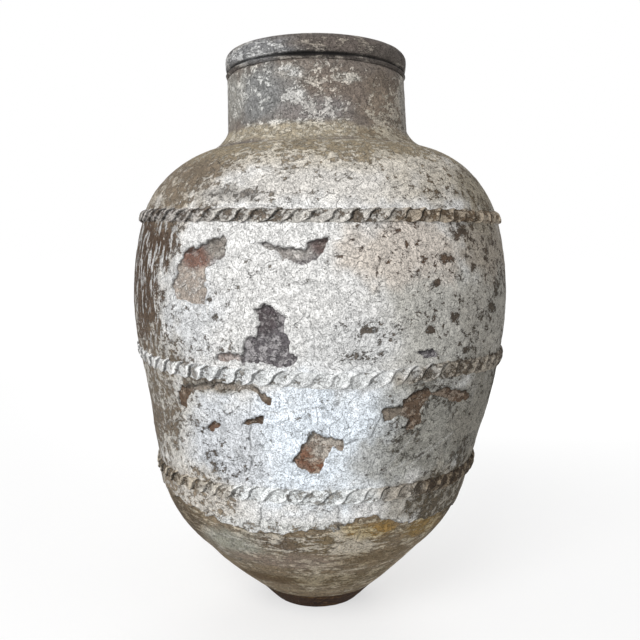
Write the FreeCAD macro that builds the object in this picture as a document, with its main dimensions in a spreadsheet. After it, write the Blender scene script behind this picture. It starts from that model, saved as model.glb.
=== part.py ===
# Large hand-built olive jar: earthenware raised in lifts, rope bands over the seams, limewash on top.
# Frame: millimetres, +Z up, origin at the centre of the foot's underside, -Y towards the viewer.
import FreeCAD
import Part
import Sketcher
import os
from collections import namedtuple

SHEET_NAME = "Sizes"
PARTS_FOLDER = "parts"
SAME_PLACE = 1e-3

# How a sketch numbers its axes, its origin and the ends of an edge
LEVEL_AXIS = -1
UPRIGHT_AXIS = -2
ORIGIN = (-1, 1)
START, END = 1, 2

# Driving dimensions: alias, value in millimetres, degrees or a count, and what it measures.
# Radii are of the bare clay, and each lift's height is counted from the seam below it.
DRIVING_SIZES = (
    ("foot_bottom_radius", 82, "foot slab, underside"),
    ("foot_height", 36, "foot slab, thickness"),
    ("foot_edge_round", 5, "foot slab, rounded lower edge"),
    ("foot_seam_radius", 117, "seam on the foot slab"),
    ("foot_seam_wall", 32, "seam on the foot slab, width across the clay"),
    ("base_cone_height", 94, "first lift"),
    ("base_cone_bulge", 3, "first lift, rise of its curve over the chord"),
    ("turn_seam_radius", 214, "seam where the cone turns into the round of the jar"),
    ("turn_seam_wall", 33, "that seam, width across the clay"),
    ("lower_wall_height", 154, "second lift"),
    ("lower_wall_bulge", 17, "second lift, rise of its curve"),
    ("lower_seam_radius", 289.5, "seam under the lower rope"),
    ("lower_seam_wall", 25, "that seam, width across the clay"),
    ("lower_belly_height", 194, "third lift"),
    ("lower_belly_bulge", 1.5, "third lift, rise of its curve"),
    ("middle_seam_radius", 328.5, "seam under the middle rope"),
    ("middle_seam_wall", 24, "that seam, width across the clay"),
    ("upper_belly_height", 235, "fourth lift"),
    ("upper_belly_bulge", 13.5, "fourth lift, rise of its curve"),
    ("upper_seam_radius", 317.5, "seam under the upper rope"),
    ("upper_seam_wall", 24, "that seam, width across the clay"),
    ("shoulder_height", 117, "fifth lift"),
    ("shoulder_bulge", 20, "fifth lift, rise of its outer curve"),
    ("shoulder_inner_bulge", 32, "fifth lift, rise of its inner curve"),
    ("shoulder_edge", 14, "fifth lift, height of its edge round the mouth"),
    ("neck_seam_radius", 202.5, "seam between shoulder and neck"),
    ("neck_height", 130, "neck collar"),
    ("neck_cove_height", 36, "neck collar, hollow curve at its root"),
    ("neck_cove_depth", 6, "neck collar, depth of that curve under its chord"),
    ("neck_root_radius", 163, "neck collar, above the cove"),
    ("neck_top_radius", 160, "neck collar, under the lip"),
    ("lip_groove", 3, "groove cut under the lip"),
    ("mouth_radius", 136, "bore through shoulder, neck and rim"),
    ("rim_height", 40, "rolled rim"),
    ("rim_radius", 161.5, "rolled rim, outside"),
    ("rim_outer_round", 9, "rolled rim, top outer edge"),
    ("rim_inner_round", 7, "rolled rim, top inner edge"),
    ("rim_under_round", 3, "rolled rim, lower outer edge"),
    ("seam_ridge", 8, "ridge on each seam that keys into the lift above"),
    ("coat", 2, "limewash, built up thickness"),
    ("coat_hem", 195, "height where the limewash stops above the foot"),
    ("twist_slant", 40, "rope twist, degrees from level"),
    ("twist_groove_radius", 9, "rope twist, half the thickness of the stick that marks it"),
    ("twist_groove_depth", 4, "rope twist, depth of the mark"),
    ("lower_rope_half_width", 14, "lower rope, half its width on the wall"),
    ("lower_rope_low_edge", 11.9, "lower rope, stand of its lower edge off the chord of the wall below"),
    ("lower_rope_top_edge", 2.2, "lower rope, stand of its upper edge off the chord of the wall above"),
    ("lower_rope_rise", 3.5, "lower rope, roundness of its face"),
    ("lower_rope_tilt", 0.2, "lower rope, degrees higher on the left"),
    ("lower_rope_lobes", 62, "lower rope, twists round the jar"),
    ("middle_rope_half_width", 14, "middle rope, half its width on the wall"),
    ("middle_rope_low_edge", 7.3, "middle rope, stand of its lower edge"),
    ("middle_rope_top_edge", 5.2, "middle rope, stand of its upper edge"),
    ("middle_rope_rise", 3.5, "middle rope, roundness of its face"),
    ("middle_rope_tilt", 1.7, "middle rope, degrees higher on the left"),
    ("middle_rope_lobes", 70, "middle rope, twists round the jar"),
    ("upper_rope_half_width", 12, "upper rope, half its width on the wall"),
    ("upper_rope_low_edge", 5.9, "upper rope, stand of its lower edge"),
    ("upper_rope_top_edge", 18.3, "upper rope, stand of its upper edge"),
    ("upper_rope_rise", 3.5, "upper rope, roundness of its face"),
    ("upper_rope_tilt", 0.2, "upper rope, degrees higher on the left"),
    ("upper_rope_lobes", 70, "upper rope, twists round the jar"),
)

# Patches where the limewash has fallen off the front of the jar, drawn as seen straight on.
# Points are millimetres to the right of the axis and above the seam at the foot of that coat.
FLAKED_PATCHES = {
    "upper_belly_limewash": (
        ((-96, 91), (-80, 100), (-52, 80), (-55, 67), (-44, 30), (-29, 23), (-56, 4), (-119, 12), (-109, 48)),
        ((-95, 190), (-49, 182), (-22, 181), (13, 198), (14, 191), (0, 167), (-30, 157), (-53, 165)),
        ((-209, 178), (-173, 193), (-139, 197), (-145, 166), (-167, 154), (-184, 97), (-224, 101),
         (-230, 131)),
    ),
    "lower_belly_limewash": (
        ((93, 134), (124, 138), (133, 153), (154, 159), (200, 157), (237, 146), (245, 132), (202, 134),
         (171, 149), (156, 126), (158, 105), (134, 93), (120, 121), (97, 113)),
        ((-43, 52), (-9, 99), (36, 87), (36, 66), (12, 63), (0, 32), (-23, 33)),
    ),
}


class Size:
    """A number with the sheet formula that gives it, so one sum serves a drawing and its binding."""

    def __init__(self, number, formula=None):
        self.number = float(number)
        self.formula = formula or repr(float(number))

    def joined(self, sign, other, number):
        return Size(number, f"({self.formula} {sign} {other.formula})")

    def __add__(self, other):
        other = as_size(other)
        return self.joined("+", other, self.number + other.number)

    def __sub__(self, other):
        other = as_size(other)
        return self.joined("-", other, self.number - other.number)

    def __mul__(self, other):
        other = as_size(other)
        return self.joined("*", other, self.number * other.number)

    def __truediv__(self, other):
        other = as_size(other)
        return self.joined("/", other, self.number / other.number)


def as_size(value):
    return value if isinstance(value, Size) else Size(value)


ZERO = Size(0)
QUARTER_TURN = Size(90)
HALF_TURN = Size(180)
Corner = namedtuple("Corner", "name radius height bulge", defaults=(None,))
Seam = namedtuple("Seam", "radius wall height")
Lift = namedtuple("Lift", "lower upper bulge")


def make_sheet(doc):
    """Writes the driving sizes to the sheet and returns them by alias."""
    sheet = doc.addObject("Spreadsheet::Sheet", SHEET_NAME)
    for row, (alias, value, words) in enumerate(DRIVING_SIZES, start=1):
        sheet.set(f"A{row}", words)
        sheet.set(f"B{row}", str(value))
        sheet.setAlias(f"B{row}", alias)
    doc.recompute()
    return {alias: Size(sheet.get(alias), f"{SHEET_NAME}.{alias}") for alias, _, _ in DRIVING_SIZES}


doc = FreeCAD.newDocument("OliveJar")
size = make_sheet(doc)


# Sketches and features


def origin_feature(body, role):
    return next(item for item in body.Origin.OriginFeatures if item.Role == role)


def new_body(name):
    return doc.addObject("PartDesign::Body", name)


def upright_sketch(body, name):
    """A sketch on the body's XZ plane: its x is the radius and its y the height."""
    sketch = body.newObject("Sketcher::SketchObject", name)
    sketch.AttachmentSupport = [(origin_feature(body, "XZ_Plane"), "")]
    sketch.MapMode = "FlatFace"
    return sketch


def point(corner):
    return FreeCAD.Vector(corner.radius.number, corner.height.number, 0)


def arc_middle(start, end, bulge):
    """The point of an arc furthest from its chord. A positive bulge swells away from the axis."""
    chord = end - start
    normal = FreeCAD.Vector(chord.y, -chord.x, 0).normalize()
    if normal.x < 0:
        normal = -normal
    return (start + end) * 0.5 + normal * bulge


def arc_radius(start, end, bulge):
    across = end.radius - start.radius
    along = end.height - start.height
    rise = bulge if bulge.number > 0 else ZERO - bulge
    return ((across * across + along * along) / 4 + rise * rise) / (rise * 2)


def draw_outline(sketch, corners):
    """Draws a closed outline from its corners and binds every corner and arc to the sheet.

    A corner's bulge curves the edge that leaves it.
    """
    ends = []
    for corner, following in zip(corners, corners[1:] + corners[:1]):
        start, end = point(corner), point(following)
        if corner.bulge is None:
            edge = sketch.addGeometry(Part.LineSegment(start, end))
        else:
            edge = sketch.addGeometry(Part.Arc(start, arc_middle(start, end, corner.bulge.number), end))
        forwards = sketch.getPoint(edge, START).distanceToPoint(start) < SAME_PLACE
        ends.append((edge, (START, END) if forwards else (END, START)))
    sheet_links = []

    def tie(*description):
        return sketch.addConstraint(Sketcher.Constraint(*description))

    def set_size(name, value, *description):
        sketch.renameConstraint(tie(*description, value.number), name)
        sheet_links.append((name, value.formula))

    for index, corner in enumerate(corners):
        edge, (first, _) = ends[index]
        before, (_, last) = ends[index - 1]
        following = corners[(index + 1) % len(corners)]
        tie("Coincident", before, last, edge, first)
        if corner.radius is ZERO:
            tie("PointOnObject", edge, first, UPRIGHT_AXIS)
        else:
            set_size(f"{corner.name}_radius", corner.radius, "DistanceX", *ORIGIN, edge, first)
        if corner.height is ZERO:
            tie("PointOnObject", edge, first, LEVEL_AXIS)
        else:
            set_size(f"{corner.name}_height", corner.height, "DistanceY", *ORIGIN, edge, first)
        if corner.bulge is not None:
            set_size(f"{corner.name}_arc", arc_radius(corner, following, corner.bulge), "Radius", edge)
    for name, formula in sheet_links:
        sketch.setExpression(f"Constraints.{name}", formula)


def revolve(body, name, corners):
    sketch = upright_sketch(body, f"{name}_outline")
    draw_outline(sketch, corners)
    feature = body.newObject("PartDesign::Revolution", f"{name}_turned")
    feature.Profile = sketch
    feature.ReferenceAxis = (sketch, ["V_Axis"])
    feature.Angle = 360
    doc.recompute()
    return feature


def round_edges(body, name, base, radius, at_radius, at_height):
    """Rounds the circular edges of base that lie at that radius and height."""
    edges = []
    for number, edge in enumerate(base.Shape.Edges, start=1):
        box = edge.BoundBox
        offsets = (box.ZMin - at_height.number, box.ZMax - at_height.number, box.XMax - at_radius.number)
        if all(abs(offset) < SAME_PLACE for offset in offsets):
            edges.append(f"Edge{number}")
    feature = body.newObject("PartDesign::Fillet", name)
    feature.Base = (base, edges)
    feature.setExpression("Radius", radius.formula)
    doc.recompute()
    return feature


def cut(name, base, tools):
    """Takes each tool away from base, one after another."""
    for number, tool in enumerate(tools, start=1):
        result = doc.addObject("Part::Cut", f"{name}_cut_{number}")
        result.Base = base
        result.Tool = tool
        base = result
    doc.recompute()
    return base


# Seams between the lifts, from the foot up


def next_seam(name, wall, below, rise):
    return Seam(size[f"{name}_radius"], wall, below.height + size[rise])


foot_seam = Seam(size["foot_seam_radius"], size["foot_seam_wall"], size["foot_height"])
turn_seam = next_seam("turn_seam", size["turn_seam_wall"], foot_seam, "base_cone_height")
lower_seam = next_seam("lower_seam", size["lower_seam_wall"], turn_seam, "lower_wall_height")
middle_seam = next_seam("middle_seam", size["middle_seam_wall"], lower_seam, "lower_belly_height")
upper_seam = next_seam("upper_seam", size["upper_seam_wall"], middle_seam, "upper_belly_height")
neck_seam_wall = size["neck_seam_radius"] - size["mouth_radius"]
neck_seam = next_seam("neck_seam", neck_seam_wall, upper_seam, "shoulder_height")
rim_seam_radius = size["neck_top_radius"] - size["lip_groove"]
rim_seam_height = neck_seam.height + size["neck_height"]
rim_seam = Seam(rim_seam_radius, rim_seam_radius - size["mouth_radius"], rim_seam_height)
jar_height = rim_seam.height + size["rim_height"]


def seam_corners(name, seam):
    """A seam's corners from the outside in: outer edge, keyed ridge, inner edge."""
    outer = Corner(f"{name}_outer", seam.radius, seam.height)
    ridge = Corner(f"{name}_ridge", seam.radius - seam.wall / 2, seam.height + size["seam_ridge"])
    inner = Corner(f"{name}_inner", seam.radius - seam.wall, seam.height)
    return outer, ridge, inner


# Foot slab: a flat clay disc, keyed round its top


def make_foot_slab():
    body = new_body("foot_slab")
    outer, ridge, inner = seam_corners("top", foot_seam)
    edge = Corner("edge", size["foot_bottom_radius"], ZERO)
    turned = revolve(body, "foot_slab", [
        Corner("underside_centre", ZERO, ZERO),
        edge,
        outer,
        ridge,
        inner,
        Corner("floor_centre", ZERO, foot_seam.height),
    ])
    round_edges(body, "foot_edge_rounded", turned, size["foot_edge_round"], edge.radius, edge.height)
    return body


# Lifts: rings of wall raised one on another

base_cone = Lift(foot_seam, turn_seam, size["base_cone_bulge"])
lower_wall = Lift(turn_seam, lower_seam, size["lower_wall_bulge"])
lower_belly = Lift(lower_seam, middle_seam, size["lower_belly_bulge"])
upper_belly = Lift(middle_seam, upper_seam, size["upper_belly_bulge"])
shoulder = Lift(upper_seam, neck_seam, size["shoulder_bulge"])


def make_lift(name, lift):
    body = new_body(name)
    low_outer, low_ridge, low_inner = seam_corners("low", lift.lower)
    top_outer, top_ridge, top_inner = seam_corners("top", lift.upper)
    revolve(body, name, [
        low_outer._replace(bulge=lift.bulge),
        top_outer,
        top_ridge,
        top_inner._replace(bulge=lift.bulge),
        low_inner,
        low_ridge,
    ])
    return body


# Shoulder: the last lift, closing in to the mouth


def make_shoulder():
    body = new_body("shoulder")
    low_outer, low_ridge, low_inner = seam_corners("low", shoulder.lower)
    top_outer, top_ridge, top_inner = seam_corners("top", shoulder.upper)
    mouth_edge = Corner("mouth_edge", size["mouth_radius"], neck_seam.height - size["shoulder_edge"])
    revolve(body, "shoulder", [
        low_outer._replace(bulge=shoulder.bulge),
        top_outer,
        top_ridge,
        top_inner,
        mouth_edge._replace(bulge=size["shoulder_inner_bulge"]),
        low_inner,
        low_ridge,
    ])
    return body


# Neck collar: a short wall with a coved root, grooved under the lip


def make_neck_collar():
    body = new_body("neck_collar")
    low_outer, low_ridge, low_inner = seam_corners("low", neck_seam)
    top_outer, top_ridge, top_inner = seam_corners("top", rim_seam)
    revolve(body, "neck_collar", [
        low_outer._replace(bulge=ZERO - size["neck_cove_depth"]),
        Corner("root", size["neck_root_radius"], neck_seam.height + size["neck_cove_height"]),
        Corner("groove", size["neck_top_radius"], rim_seam.height - size["lip_groove"]),
        top_outer,
        top_ridge,
        top_inner,
        low_inner,
        low_ridge,
    ])
    return body


# Rolled rim: a thick coil with rounded edges, laid on the neck


def make_rim_roll():
    body = new_body("rim_roll")
    low_outer, low_ridge, low_inner = seam_corners("low", rim_seam)
    under_lip = Corner("under_lip", size["rim_radius"], rim_seam.height)
    top_outer = Corner("top_outer", size["rim_radius"], jar_height)
    top_inner = Corner("top_inner", size["mouth_radius"], jar_height)
    feature = revolve(body, "rim_roll", [low_inner, low_ridge, low_outer, under_lip, top_outer, top_inner])
    rounds = (
        ("rim_outer_rounded", "rim_outer_round", top_outer),
        ("rim_inner_rounded", "rim_inner_round", top_inner),
        ("rim_under_rounded", "rim_under_round", under_lip),
    )
    for name, radius, corner in rounds:
        feature = round_edges(body, name, feature, size[radius], corner.radius, corner.height)
    return body


# Rope bands: twisted coils of clay pressed over three seams


def seat_on_seam(body, name, seam):
    """Lays a ring on a seam, a little higher on its left side."""
    tilt = size[f"{name}_tilt"]
    turn = FreeCAD.Rotation(FreeCAD.Vector(0, 1, 0), tilt.number)
    body.Placement = FreeCAD.Placement(FreeCAD.Vector(0, 0, seam.height.number), turn)
    body.setExpression("Placement.Base.z", seam.height.formula)
    body.setExpression("Placement.Rotation.Angle", tilt.formula)


def chord_rise(lift, height):
    """How much wider the chord of a lift gets over a height."""
    return (lift.upper.radius - lift.lower.radius) * height / (lift.upper.height - lift.lower.height)


def rope_corners(name, below, above):
    """A rope's section from its lower back edge round: back sunk in the wall, rounded face."""
    seam = above.lower
    top = size[f"{name}_half_width"]
    bottom = ZERO - top
    low_edge = seam.radius - chord_rise(below, top) + size[f"{name}_low_edge"]
    top_edge = seam.radius + chord_rise(above, top) + size[f"{name}_top_edge"]
    back = seam.radius - top
    return [
        Corner("low_back", back, bottom),
        Corner("low_edge", low_edge, bottom, size[f"{name}_rise"]),
        Corner("top_edge", top_edge, top),
        Corner("top_back", back, top),
    ]


def rope_face(name, below, above):
    """The radius that the rounded face of a rope reaches between its edges."""
    low_back, low_edge, top_edge, top_back = rope_corners(name, below, above)
    return (low_edge.radius + top_edge.radius) / 2 + size[f"{name}_rise"]


def make_rope_bed(name, below, above):
    """The strip of wall under a rope, which gets no limewash."""
    body = new_body(f"{name}_bed")
    seat_on_seam(body, name, above.lower)
    low_back, low_edge, top_edge, top_back = rope_corners(name, below, above)
    outside = rope_face(name, below, above) + size["coat"]
    low_front = low_edge._replace(radius=outside, bulge=None)
    top_front = top_edge._replace(radius=outside)
    revolve(body, f"{name}_bed", [low_back, low_front, top_front, top_back])
    return body


def make_twist_marks(name, below, above):
    """The slanted marks that a round stick presses into a rope, one for each lobe."""
    body = new_body(f"{name}_marks")
    body.AllowCompound = True
    seat_on_seam(body, name, above.lower)
    slant = size["twist_slant"]
    lean = QUARTER_TURN - slant
    stick_radius = size["twist_groove_radius"]
    half_length = size[f"{name}_half_width"] * 2
    stick = body.newObject("PartDesign::AdditiveCylinder", f"{name}_stick")
    leaning = FreeCAD.Rotation(FreeCAD.Vector(-1, 0, 0), lean.number)
    stick.Placement = FreeCAD.Placement(FreeCAD.Vector(), leaning)
    stick_out = rope_face(name, below, above) + stick_radius - size["twist_groove_depth"]
    stick.setExpression("Radius", stick_radius.formula)
    stick.setExpression("Height", (half_length * 2).formula)
    stick.setExpression("Placement.Rotation.Angle", lean.formula)
    stick.setExpression("Placement.Base.x", stick_out.formula)
    stick.setExpression("Placement.Base.y", f"-{half_length.formula} * cos({slant.formula} * 1deg)")
    stick.setExpression("Placement.Base.z", f"-{half_length.formula} * sin({slant.formula} * 1deg)")
    doc.recompute()
    marks = body.newObject("PartDesign::PolarPattern", f"{name}_sticks")
    marks.Originals = [stick]
    marks.Axis = (origin_feature(body, "Z_Axis"), [""])
    marks.Angle = 360
    marks.setExpression("Occurrences", size[f"{name}_lobes"].formula)
    body.Tip = marks
    doc.recompute()
    return body


def make_wall_form(name, below, above):
    """The outer form of the two lifts that meet at a seam, which shapes the back of its rope."""
    body = new_body(f"{name}_form")
    revolve(body, f"{name}_form", [
        Corner("low_centre", ZERO, below.lower.height),
        Corner("low", below.lower.radius, below.lower.height, below.bulge),
        Corner("seam", above.lower.radius, above.lower.height, above.bulge),
        Corner("top", above.upper.radius, above.upper.height),
        Corner("top_centre", ZERO, above.upper.height),
    ])
    return body


def make_rope(name, below, above):
    """A rope over the seam between two lifts. Its own seam line lies midway between two twists."""
    body = new_body(f"{name}_coil")
    seat_on_seam(body, name, above.lower)
    ring = revolve(body, f"{name}_coil", rope_corners(name, below, above))
    half_twist = HALF_TURN / size[f"{name}_lobes"]
    sketch = ring.Profile[0]
    between_twists = FreeCAD.Rotation(FreeCAD.Vector(0, 1, 0), half_twist.number)
    sketch.AttachmentOffset = FreeCAD.Placement(FreeCAD.Vector(), between_twists)
    sketch.setExpression("AttachmentOffset.Rotation.Angle", half_twist.formula)
    return cut(name, body, [make_wall_form(name, below, above), make_twist_marks(name, below, above)])


# Limewash: a thick brushed coat on the lifts, kept off the ropes


def make_limewash(name, lift, keep_off):
    body = new_body(f"{name}_coat")
    lower, upper, bulge = lift
    coat = size["coat"]
    feature = revolve(body, name, [
        Corner("low_inner", lower.radius, lower.height),
        Corner("low_outer", lower.radius + coat, lower.height, bulge),
        Corner("top_outer", upper.radius + coat, upper.height),
        Corner("top_inner", upper.radius, upper.height, bulge),
    ])
    for number, patch in enumerate(FLAKED_PATCHES.get(name, ()), start=1):
        sketch = upright_sketch(body, f"{name}_patch_{number}")
        draw_outline(sketch, [
            Corner(f"point_{index}", Size(right), lower.height + up)
            for index, (right, up) in enumerate(patch)
        ])
        pocket = body.newObject("PartDesign::Pocket", f"{name}_flaked_{number}")
        pocket.Profile = sketch
        pocket.Type = "ThroughAll"
        pocket.Reversed = True
        doc.recompute()
        if not pocket.Shape.Volume < feature.Shape.Volume:
            raise RuntimeError(f"{name}: flaked patch {number} cuts nothing")
        feature = pocket
    return cut(name, body, keep_off)


def make_hem_cutter():
    """Everything below the height where the limewash stops."""
    cutter = doc.addObject("Part::Cylinder", "hem_cutter")
    cutter.setExpression("Radius", (lower_seam.radius + size["coat"] * 2).formula)
    cutter.setExpression("Height", size["coat_hem"].formula)
    doc.recompute()
    return cutter


# Assembly, from the foot up

lower_bed = make_rope_bed("lower_rope", lower_wall, lower_belly)
middle_bed = make_rope_bed("middle_rope", lower_belly, upper_belly)
upper_bed = make_rope_bed("upper_rope", upper_belly, shoulder)

sub_parts = {
    "foot_slab": make_foot_slab(),
    "base_cone": make_lift("base_cone", base_cone),
    "lower_wall": make_lift("lower_wall", lower_wall),
    "lower_belly": make_lift("lower_belly", lower_belly),
    "upper_belly": make_lift("upper_belly", upper_belly),
    "shoulder": make_shoulder(),
    "neck_collar": make_neck_collar(),
    "rim_roll": make_rim_roll(),
    "lower_rope": make_rope("lower_rope", lower_wall, lower_belly),
    "middle_rope": make_rope("middle_rope", lower_belly, upper_belly),
    "upper_rope": make_rope("upper_rope", upper_belly, shoulder),
    "lower_wall_limewash": make_limewash("lower_wall_limewash", lower_wall, [lower_bed, make_hem_cutter()]),
    "lower_belly_limewash": make_limewash("lower_belly_limewash", lower_belly, [lower_bed, middle_bed]),
    "upper_belly_limewash": make_limewash("upper_belly_limewash", upper_belly, [middle_bed, upper_bed]),
    "shoulder_limewash": make_limewash("shoulder_limewash", shoulder, [upper_bed]),
}

# Checks, then one file for each piece

for item in doc.Objects:
    if "Invalid" in item.State or "Error" in item.State:
        raise RuntimeError(f"{item.Name} failed: {item.State}")
for label, item in sub_parts.items():
    item.Label = label
    if item.Shape.isNull() or not item.Shape.isValid() or len(item.Shape.Solids) != 1:
        raise RuntimeError(f"{label} is not one sound solid")

os.makedirs(PARTS_FOLDER, exist_ok=True)
for label, item in sub_parts.items():
    item.Shape.exportStep(os.path.join(PARTS_FOLDER, f"{item.Label}.step"))
    print(f"{label}: {item.Shape.Volume / 1000:.0f} cm3")
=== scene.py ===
import itertools
import math
from collections import namedtuple

import bpy
import numpy as np
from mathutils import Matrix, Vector
from mathutils.bvhtree import BVHTree


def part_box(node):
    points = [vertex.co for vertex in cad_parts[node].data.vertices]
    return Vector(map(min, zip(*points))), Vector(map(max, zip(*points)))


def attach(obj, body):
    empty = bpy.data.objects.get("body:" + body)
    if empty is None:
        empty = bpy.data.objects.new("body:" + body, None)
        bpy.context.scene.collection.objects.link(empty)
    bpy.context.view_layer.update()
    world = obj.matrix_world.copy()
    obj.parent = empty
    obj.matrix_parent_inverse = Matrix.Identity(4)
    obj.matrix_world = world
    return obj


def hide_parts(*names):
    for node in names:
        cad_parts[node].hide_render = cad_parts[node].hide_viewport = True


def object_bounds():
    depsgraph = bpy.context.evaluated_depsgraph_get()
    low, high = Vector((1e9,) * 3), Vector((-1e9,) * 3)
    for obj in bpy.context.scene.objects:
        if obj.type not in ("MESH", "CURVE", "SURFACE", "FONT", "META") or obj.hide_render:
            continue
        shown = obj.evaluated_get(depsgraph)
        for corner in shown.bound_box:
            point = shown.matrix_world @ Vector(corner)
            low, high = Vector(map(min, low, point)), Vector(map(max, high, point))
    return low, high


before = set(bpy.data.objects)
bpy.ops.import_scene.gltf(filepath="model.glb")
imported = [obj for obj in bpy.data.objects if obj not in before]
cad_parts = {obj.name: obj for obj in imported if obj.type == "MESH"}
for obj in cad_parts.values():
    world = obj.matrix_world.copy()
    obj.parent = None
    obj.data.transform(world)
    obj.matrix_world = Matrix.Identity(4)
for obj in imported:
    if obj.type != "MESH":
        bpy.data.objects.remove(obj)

cad_low, cad_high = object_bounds()

# Foot slab: the round of coarse clay that the jar was started on, beaten flat and thumbed at the edge.
# It is the darkest piece, damp stained from standing on earth, and the first lift is keyed to its rim.
MM = 0.001
LIFTS = (
    "foot_slab", "base_cone", "lower_wall", "lower_belly",
    "upper_belly", "shoulder", "neck_collar", "rim_roll")
seam_heights = [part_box(lift)[0].z for lift in LIFTS] + [cad_high.z]
seam_below = dict(zip(LIFTS, seam_heights))
seam_above = dict(zip(LIFTS, seam_heights[1:]))
MEASURING_STEP = 0.5 * MM
BACK_OF_JAR = np.array((0.1, 0.995, 0))
WELL_OUTSIDE = 1.0


def measured_line(node, low, high, from_axis=False):
    """Radius and height along one face of a turned piece, measured on the CAD piece behind the jar."""
    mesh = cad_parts[node].data
    faces = BVHTree.FromPolygons(
        [corner.co for corner in mesh.vertices], [list(face.vertices) for face in mesh.polygons])
    heights = np.arange(low, high - MEASURING_STEP / 2, MEASURING_STEP) + MEASURING_STEP / 2
    radii = []
    for height in heights:
        start = np.array((0, 0, height)) + (0 if from_axis else WELL_OUTSIDE) * BACK_OF_JAR
        hit = faces.ray_cast(start, BACK_OF_JAR if from_axis else -BACK_OF_JAR)[0]
        radii.append(math.hypot(hit.x, hit.y))
    first = radii[0] - (radii[1] - radii[0]) / 2
    last = radii[-1] + (radii[-1] - radii[-2]) / 2
    return np.column_stack(((first, *radii, last), (low, *heights, high)))


def evenly(line, spacing):
    """The same line with its points about a spacing apart."""
    along = np.r_[0, np.cumsum(np.hypot(*np.diff(line, axis=0).T))]
    stations = np.linspace(0, along[-1], max(2, round(along[-1] / spacing) + 1))
    return np.column_stack([np.interp(stations, along, column) for column in line.T])


def add(tree, kind, inputs=None, **settings):
    """Adds a node, and fills its inputs with numbers or with other nodes' outputs."""
    node = tree.nodes.new(kind)
    for name, value in settings.items():
        setattr(node, name, value)
    for key, value in (inputs or {}).items():
        if isinstance(value, bpy.types.NodeSocket):
            tree.links.new(value, node.inputs[key])
        else:
            node.inputs[key].default_value = value
    return node


def maths(tree, operation, *values):
    return add(tree, "ShaderNodeMath", dict(enumerate(values)), operation=operation).outputs[0]


def new_tree(name, inputs):
    """A node tree with the named inputs, each given by its kind of socket."""
    tree = bpy.data.node_groups.new(name, "GeometryNodeTree")
    for label, kind in inputs.items():
        tree.interface.new_socket(label, in_out="INPUT", socket_type=f"NodeSocket{kind}")
    tree.interface.new_socket("Clay", in_out="OUTPUT", socket_type="NodeSocketGeometry")
    return tree, add(tree, "NodeGroupInput").outputs


def end_tree(tree, geometry, finish):
    """Ends a tree with solid clay in its finish."""
    solid = add(tree, "GeometryNodeRealizeInstances", {"Geometry": geometry})
    finished = add(tree, "GeometryNodeSetMaterial", {
        "Geometry": solid.outputs["Geometry"], "Material": finish})
    add(tree, "NodeGroupOutput", {"Clay": finished.outputs["Geometry"]})


WELD_DISTANCE = 0.01 * MM


def turning_tree():
    """Turns a section round the jar's axis, as clay is raised on a slow wheel."""
    tree, given = new_tree("turned on the axis", {
        "Section": "Geometry", "Columns": "Int", "Turning radius": "Float", "Finish": "Material"})
    section = add(tree, "GeometryNodeMeshToCurve", {"Mesh": given["Section"]})
    circle = add(tree, "GeometryNodeCurvePrimitiveCircle", {
        "Resolution": given["Columns"], "Radius": given["Turning radius"]})
    ring = add(tree, "GeometryNodeCurveToMesh", {
        "Curve": circle.outputs["Curve"], "Profile Curve": section.outputs["Curve"]})
    closed = add(tree, "GeometryNodeMergeByDistance", {
        "Geometry": ring.outputs["Mesh"], "Distance": WELD_DISTANCE})
    end_tree(tree, closed.outputs["Geometry"], given["Finish"])
    return tree


def run_tree(name, tree, mesh, inputs):
    """Runs a node tree on a mesh and leaves the result as a plain mesh."""
    piece = bpy.data.objects.new(name, mesh)
    bpy.context.scene.collection.objects.link(piece)
    making = piece.modifiers.new("making", "NODES")
    making.node_group = tree
    for socket in tree.interface.items_tree:
        if socket.in_out == "INPUT" and socket.name in inputs:
            making[socket.identifier] = inputs[socket.name]
    made = bpy.data.meshes.new_from_object(piece.evaluated_get(bpy.context.evaluated_depsgraph_get()))
    piece.modifiers.remove(making)
    piece.data = made
    return piece


def points_of(mesh):
    points = np.empty(len(mesh.vertices) * 3, np.float32)
    mesh.vertices.foreach_get("co", points)
    return points.reshape(-1, 3).astype(float)


def move_points(mesh, points):
    mesh.vertices.foreach_set("co", points.astype(np.float32).ravel())


turning = turning_tree()
TURNING_RADIUS = 0.2
COLUMNS = 800
FRONT_CROWDING = 0.4
SKIN_ROW = 2.4 * MM
HIDDEN_ROW = 20 * MM


def turned(name, section, finish, closed=True, columns=COLUMNS):
    """A ring or round of clay of that section, its columns closest in front, where marks are finest."""
    mesh = bpy.data.meshes.new(name)
    count = len(section)
    last = count if closed else count - 1
    mesh.from_pydata(
        [(radius - TURNING_RADIUS, -height, 0) for radius, height in section],
        [(index, (index + 1) % count) for index in range(last)], [])
    piece = run_tree(name, turning, mesh, {
        "Columns": columns, "Turning radius": TURNING_RADIUS, "Finish": finish})
    across, depth, up = points_of(piece.data).T
    turn = np.arctan2(across, -depth)
    turn -= FRONT_CROWDING * np.sin(turn)
    radius = np.hypot(across, depth)
    move_points(piece.data, np.column_stack((radius * np.sin(turn), -radius * np.cos(turn), up)))
    return piece


def eased(value, start, end):
    share = np.clip((value - start) / (end - start), 0, 1)
    return share * share * (3 - 2 * share)


HASH_STRIDES = np.array((73856093, 19349663, 83492791))
HASH_MIX = 1274126177
HASH_TOP = 2147483647
HASH_SHIFTS = (13, 7)
HASH_LEVELS = 65536
CELL_OFFSET = 1000


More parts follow.
